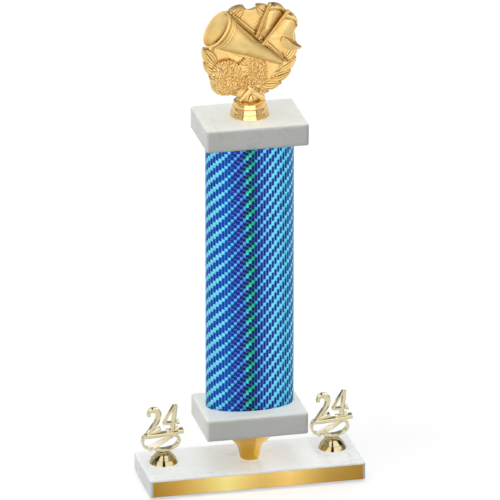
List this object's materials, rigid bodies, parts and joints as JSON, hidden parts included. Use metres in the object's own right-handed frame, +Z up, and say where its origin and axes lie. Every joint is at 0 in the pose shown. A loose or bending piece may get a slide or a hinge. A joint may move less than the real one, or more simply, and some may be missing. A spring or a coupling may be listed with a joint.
{
  "type": "cheerleading trophy",
  "caption": "Column trophy: a marble base with year trims and a nameplate, a riser cup, an oval film-wrapped column between marble plates, and a gold megaphone medallion on top.",
  "frame": {"origin": "on the shelf, under the middle of the base", "axes": "+Z up the column, +X to the trophy's right seen from the front, the nameplate and the megaphone face -Y"},
  "size_m": [0.1974, 0.0708, 0.4501],
  "materials": {
    "base_marble": "polished white marble with faint grey veins",
    "plate_marble": "honed off-white marble",
    "column_film": "plastic tube wrapped in blue prismatic film with a woven look",
    "figure_gold": "metallised plastic, satin gold with polished bands",
    "trim_gold": "metallised plastic, mirror-bright pale gold",
    "riser_gold": "metallised plastic, bright gold",
    "nameplate_gold": "brushed and lacquered",
    "zinc_steel": "zinc-plated steel",
    "black_plastic": "moulded, matt",
    "tape": "double-sided adhesive film",
    "felt": "dark green felt"
  },
  "bodies": {
    "stand": {"base_slab": "base_marble", "nameplate_tape": "tape", "nameplate": "nameplate_gold", "felt_pad_front_left": "felt", "felt_pad_rear_left": "felt", "felt_pad_front_right": "felt", "felt_pad_rear_right": "felt", "rod_washer": "zinc_steel", "rod_nut": "zinc_steel", "tie_rod": "zinc_steel", "riser_cup": "riser_gold", "lower_plate": "plate_marble", "upper_plate": "plate_marble", "column_tube": "column_film", "lower_column_plug": "black_plastic", "upper_column_plug": "black_plastic", "left_trim_washer": "zinc_steel", "left_trim_nut": "zinc_steel", "right_trim_washer": "zinc_steel", "right_trim_nut": "zinc_steel"},
    "figure": {"figure_dome": "figure_gold", "figure_nut": "zinc_steel", "megaphone_medallion": "figure_gold"},
    "left_trim": {"left_year_figure": "trim_gold", "left_trim_dome": "trim_gold", "left_trim_stud": "zinc_steel"},
    "right_trim": {"right_year_figure": "trim_gold", "right_trim_dome": "trim_gold", "right_trim_stud": "zinc_steel"}
  },
  "joints": [
    {"name": "figure_turn", "type": "hinge", "parent": "stand", "child": "figure", "pos_m": [0, 0, 0.346], "axis": [0, 0, 1], "range_deg": [-180, 180]},
    {"name": "left_trim_turn", "type": "hinge", "parent": "stand", "child": "left_trim", "pos_m": [-0.0775, 0.006, 0.0185], "axis": [0, 0, 1], "range_deg": [-180, 180]},
    {"name": "right_trim_turn", "type": "hinge", "parent": "stand", "child": "right_trim", "pos_m": [0.0775, 0.006, 0.0185], "axis": [0, 0, 1], "range_deg": [-180, 180]}
  ]
}
